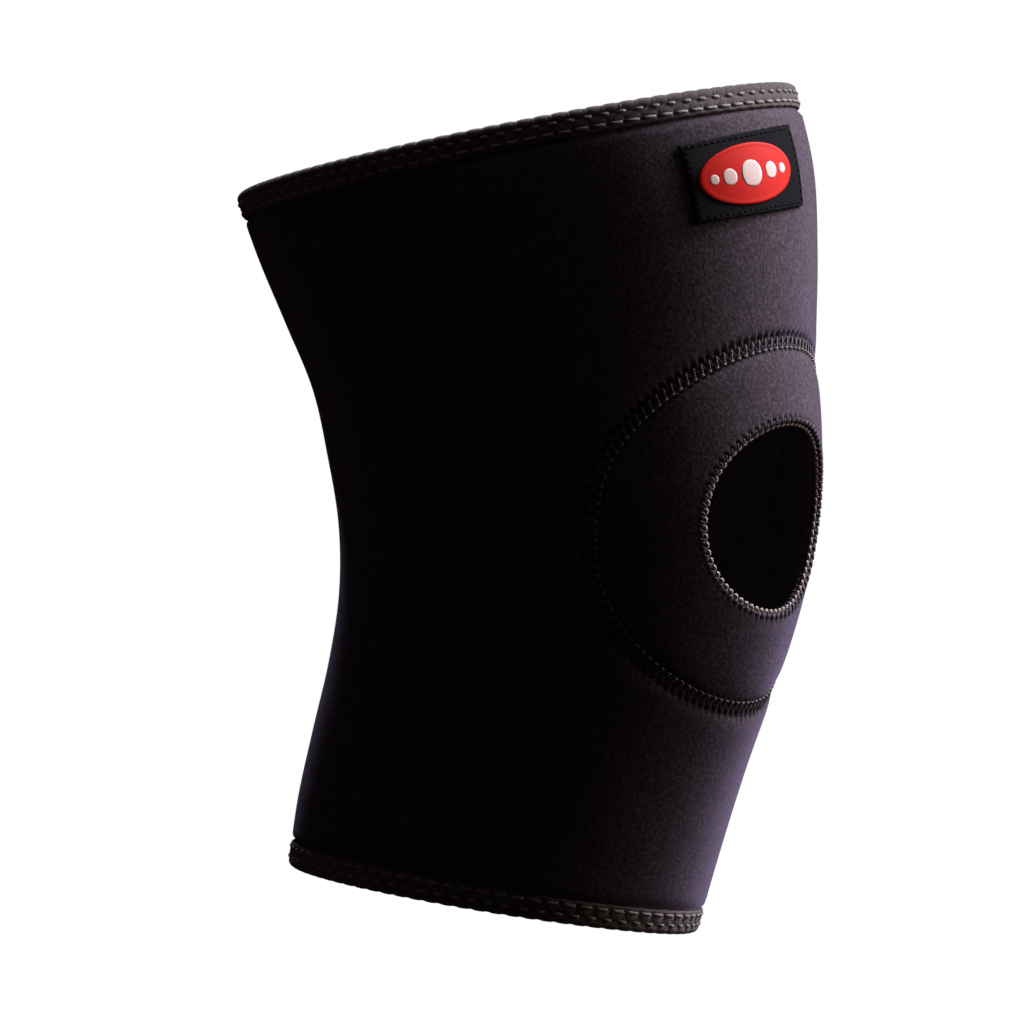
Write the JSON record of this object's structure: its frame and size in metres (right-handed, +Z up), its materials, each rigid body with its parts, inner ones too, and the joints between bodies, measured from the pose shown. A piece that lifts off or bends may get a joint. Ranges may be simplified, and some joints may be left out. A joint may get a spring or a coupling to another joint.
{
  "type": "knee sleeve",
  "caption": "Soft tubular neoprene sleeve shaped to a slightly bent knee, with an oval front panel, a round kneecap hole, bound rims and a sewn label.",
  "frame": {"origin": "the middle of the knee in the sleeve's hollow, level with the middle of the knee panel", "axes": "+Z up along the leg to the thigh, -Y to the front of the knee, -X to the outer side of the right leg"},
  "size_m": [0.1406, 0.1745, 0.2377],
  "materials": {
    "jersey": "matte, fine knit",
    "panel_jersey": "matte, fine knit",
    "binding_tape": "matte, stitched",
    "label_cloth": "matte, woven",
    "badge_print": "satin"
  },
  "bodies": {
    "root": {"sleeve_body": "jersey", "knee_panel": "panel_jersey", "top_binding": "binding_tape", "bottom_binding": "binding_tape", "label_patch": "label_cloth", "label_badge": "badge_print"}
  },
  "joints": []
}
